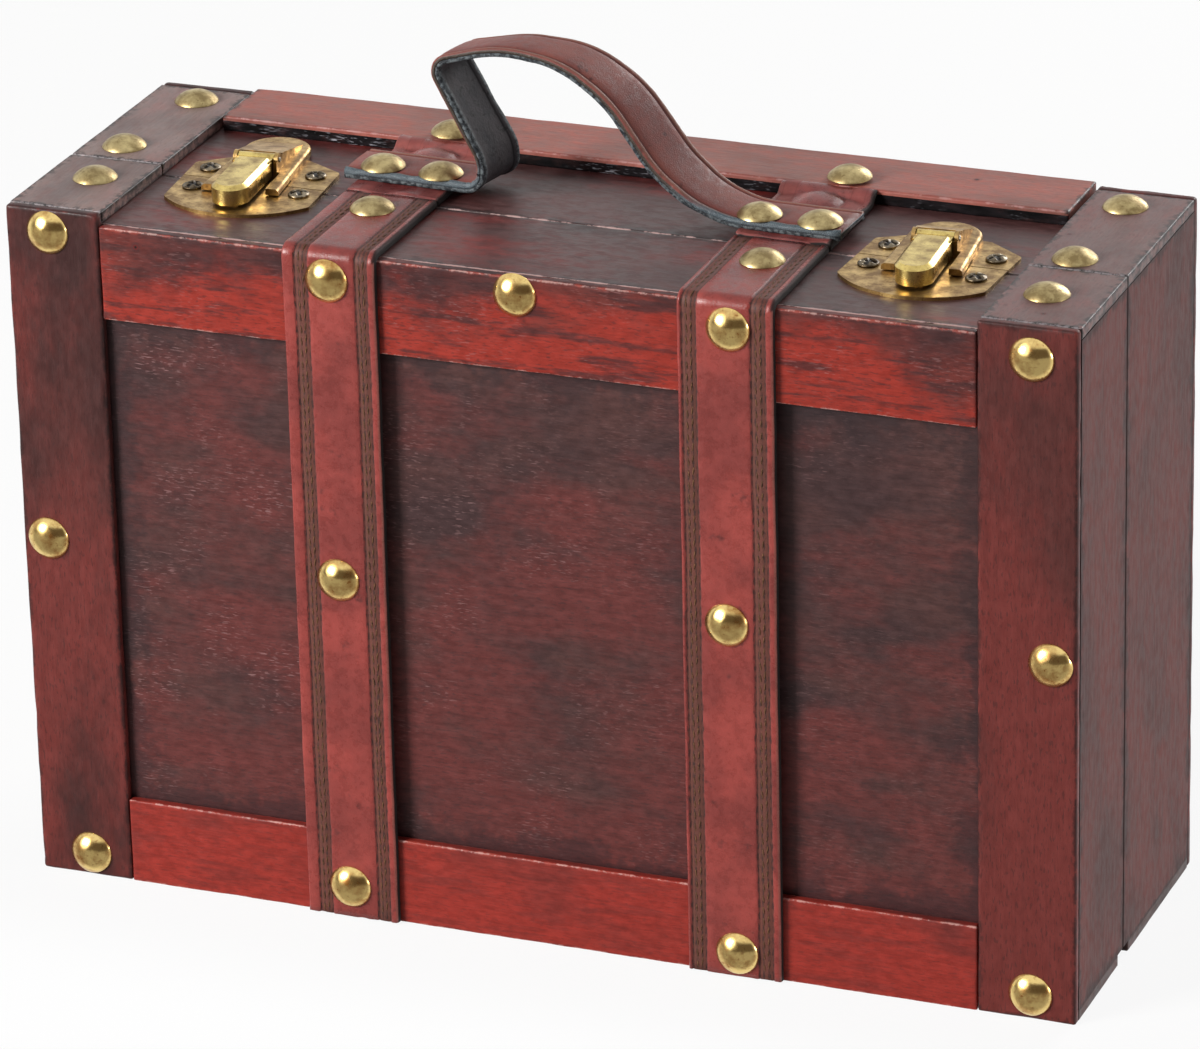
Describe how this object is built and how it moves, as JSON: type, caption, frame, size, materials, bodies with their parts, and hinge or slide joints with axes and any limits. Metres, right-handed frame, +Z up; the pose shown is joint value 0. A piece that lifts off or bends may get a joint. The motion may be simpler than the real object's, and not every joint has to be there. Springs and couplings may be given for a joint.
{
  "type": "wooden case",
  "caption": "Small upright wooden case in two hinged shells, with leather straps and handle, domed nails and brass swing latches on top.",
  "frame": {"origin": "middle of the footprint, on the surface that the case stands on", "axes": "+Z up towards the handle, +X to the right along the case's width, +Y from the lid to the back shell"},
  "size_m": [0.31, 0.1186, 0.2457],
  "materials": {
    "nail_brass": "aged satin",
    "screw_steel": "darkened",
    "pin_steel": "satin",
    "latch_brass": "antique",
    "lining_leather": "matt",
    "strap_leather": "waxed",
    "panel_wood": "varnished",
    "red_wood": "varnished",
    "stile_wood": "varnished",
    "batten_wood": "worn varnish",
    "board_wood": "worn varnish"
  },
  "bodies": {
    "back_shell": {"back_nails": "nail_brass", "back_panel": "panel_wood", "back_rail_bottom": "red_wood", "back_rail_top": "red_wood", "back_stile_left": "stile_wood", "back_stile_right": "stile_wood", "body_batten_left": "batten_wood", "body_batten_right": "batten_wood", "body_bottom_board": "board_wood", "body_hinge_leaf_left": "latch_brass", "body_hinge_leaf_right": "latch_brass", "body_hinge_screws": "screw_steel", "body_runner_left": "batten_wood", "body_runner_right": "batten_wood", "body_side_left": "board_wood", "body_side_right": "board_wood", "body_strap_left": "strap_leather", "body_strap_right": "strap_leather", "body_top_board": "board_wood", "body_top_nails": "nail_brass", "handle_leather": "strap_leather", "handle_lining": "lining_leather", "handle_nails": "nail_brass", "hinge_pin_left": "pin_steel", "hinge_pin_right": "pin_steel", "latch_base_left": "latch_brass", "latch_base_right": "latch_brass", "latch_body_screws": "screw_steel", "latch_hood_left": "latch_brass", "latch_hood_right": "latch_brass", "latch_pin_left": "pin_steel", "latch_pin_right": "pin_steel", "rear_batten": "red_wood"},
    "lid": {"front_nails": "nail_brass", "front_panel": "panel_wood", "front_rail_bottom": "red_wood", "front_rail_top": "red_wood", "front_stile_left": "stile_wood", "front_stile_right": "stile_wood", "latch_catch_left": "latch_brass", "latch_catch_right": "latch_brass", "latch_lid_screws": "screw_steel", "lid_batten_left": "batten_wood", "lid_batten_right": "batten_wood", "lid_bottom_board": "board_wood", "lid_hinge_leaf_left": "latch_brass", "lid_hinge_leaf_right": "latch_brass", "lid_hinge_screws": "screw_steel", "lid_runner_left": "batten_wood", "lid_runner_right": "batten_wood", "lid_side_left": "board_wood", "lid_side_right": "board_wood", "lid_strap_left": "strap_leather", "lid_strap_right": "strap_leather", "lid_top_board": "board_wood", "lid_top_nails": "nail_brass"},
    "latch_left": {"latch_lever_left": "latch_brass"},
    "latch_right": {"latch_lever_right": "latch_brass"}
  },
  "joints": [
    {"name": "lid_swing", "type": "hinge", "parent": "back_shell", "child": "lid", "pos_m": [0, -0.0105, 0.0017], "axis": [1, 0, 0], "range_deg": [0, 105]},
    {"name": "latch_left_swing", "type": "hinge", "parent": "back_shell", "child": "latch_left", "pos_m": [-0.10055, -0.00422, 0.2051], "axis": [-0.9962, -0.0872, 0], "range_deg": [0, 100]},
    {"name": "latch_right_swing", "type": "hinge", "parent": "back_shell", "child": "latch_right", "pos_m": [0.09914, -0.00422, 0.2051], "axis": [-0.9973, -0.0732, 0], "range_deg": [0, 100]}
  ]
}
